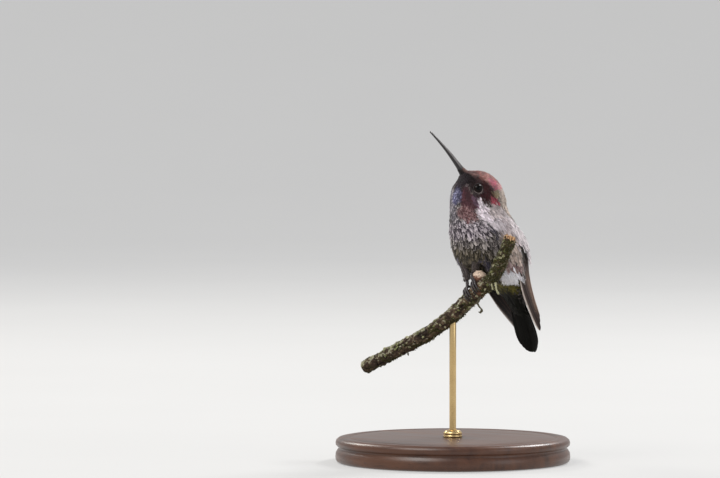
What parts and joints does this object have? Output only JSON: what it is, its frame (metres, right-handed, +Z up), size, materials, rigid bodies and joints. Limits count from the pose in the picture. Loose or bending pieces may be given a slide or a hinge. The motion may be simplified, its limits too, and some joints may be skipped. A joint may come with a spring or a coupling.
{
  "type": "still life-size Anna's hummingbird on a perch and stand",
  "caption": "Life-size still model of a perched hummingbird, head turned and bill raised, gripping a cut branch held on a round wooden stand by a thin rod.",
  "frame": {"origin": "centre of the underside of the stand's round foot", "axes": "+Z up; the bird's body faces -Y and its left side is towards +X; the branch runs down towards -X"},
  "size_m": [0.084, 0.084, 0.1181],
  "materials": {
    "plumage": "soft overlapping contour feathers, grey and buff with a rose and violet gorget and crown, green-bronze back",
    "flight_feathers": "smooth brown-black vanes with pale shafts",
    "bill_horn": "satin black horn",
    "eye_surface": "wet black-brown eye with pale lid rim",
    "foot_scales": "dull scaled black skin",
    "bark": "rough brown-grey bark with lichen and a pale broken end",
    "stand_wood": "dark stained turned wood, satin varnish",
    "stand_brass": "lightly brushed brass"
  },
  "bodies": {
    "root": {"bill": "bill_horn", "head": "plumage", "eye_left": "eye_surface", "eye_right": "eye_surface", "neck": "plumage", "trunk": "plumage", "wing_left": "flight_feathers", "wing_right": "flight_feathers", "tail": "flight_feathers", "leg_left": "plumage", "leg_right": "plumage", "foot_left": "foot_scales", "foot_right": "foot_scales", "perch_branch": "bark", "perch_spur": "bark", "stand_base": "stand_wood", "stand_rod": "stand_brass", "stand_collar": "stand_brass"}
  },
  "joints": []
}
